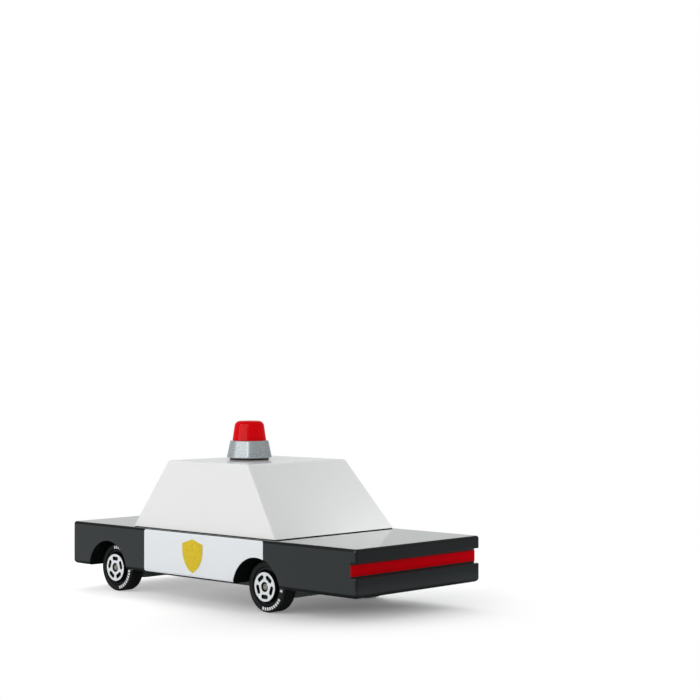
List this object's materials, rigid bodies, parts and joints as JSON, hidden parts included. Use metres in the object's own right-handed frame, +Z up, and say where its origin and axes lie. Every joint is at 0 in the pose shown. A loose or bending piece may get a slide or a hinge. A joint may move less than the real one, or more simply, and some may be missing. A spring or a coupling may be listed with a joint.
{
  "type": "toy police car",
  "caption": "Painted wooden toy saloon car with a sloping cabin, white door panels, plain gold shields, rolling wheels and a magnet-held roof beacon.",
  "frame": {"origin": "on the floor under the middle of the car", "axes": "+X forwards along the car, +Y to the car's left, +Z up"},
  "size_m": [0.0904, 0.0388, 0.0393],
  "materials": {
    "black_lacquer": "gloss black lacquer on wood",
    "white_lacquer": "gloss white lacquer on wood",
    "bare_wood": "bare beech",
    "red_strip": "gloss red strip",
    "white_film": "satin white film",
    "gold_film": "metallic gold film",
    "steel": "bright drawn steel",
    "magnet": "dark ferrite magnet",
    "silver_paint": "silver paint on turned wood",
    "red_paint": "gloss red paint on turned wood",
    "base_plastic": "moulded grey-green plastic",
    "tyre": "satin black rubber",
    "wheel_plastic": "moulded black plastic",
    "cap_plastic": "moulded white plastic"
  },
  "bodies": {
    "car": {"lower_body": "black_lacquer", "cabin": "white_lacquer", "cabin_dowels": "bare_wood", "tail_light_strip": "red_strip", "left_door_panel": "white_film", "right_door_panel": "white_film", "left_shield": "gold_film", "right_shield": "gold_film", "roof_disc": "steel", "base_plate": "base_plastic", "base_screws": "steel"},
    "front_wheels": {"front_axle": "steel", "front_left_tyre": "tyre", "front_right_tyre": "tyre", "front_left_wheel": "wheel_plastic", "front_right_wheel": "wheel_plastic", "front_left_hub_cap": "cap_plastic", "front_right_hub_cap": "cap_plastic"},
    "rear_wheels": {"rear_axle": "steel", "rear_left_tyre": "tyre", "rear_right_tyre": "tyre", "rear_left_wheel": "wheel_plastic", "rear_right_wheel": "wheel_plastic", "rear_left_hub_cap": "cap_plastic", "rear_right_hub_cap": "cap_plastic"},
    "magnet": {"beacon_magnet": "magnet"},
    "beacon": {"beacon_base": "silver_paint", "beacon_dome": "red_paint"}
  },
  "joints": [
    {"name": "front_roll", "type": "hinge", "parent": "car", "child": "front_wheels", "pos_m": [0.0324, 0, 0.0054], "axis": [0, 1, 0], "continuous": true},
    {"name": "rear_roll", "type": "hinge", "parent": "car", "child": "rear_wheels", "pos_m": [-0.0171, 0, 0.0054], "axis": [0, 1, 0], "continuous": true},
    {"name": "beacon_lift", "type": "slide", "parent": "car", "child": "magnet", "axis": [0, 0, 1], "range_m": [0, 0.02]},
    {"name": "beacon_turn", "type": "hinge", "parent": "magnet", "child": "beacon", "pos_m": [0.0058, 0, 0.0309], "axis": [0, 0, 1], "continuous": true}
  ]
}
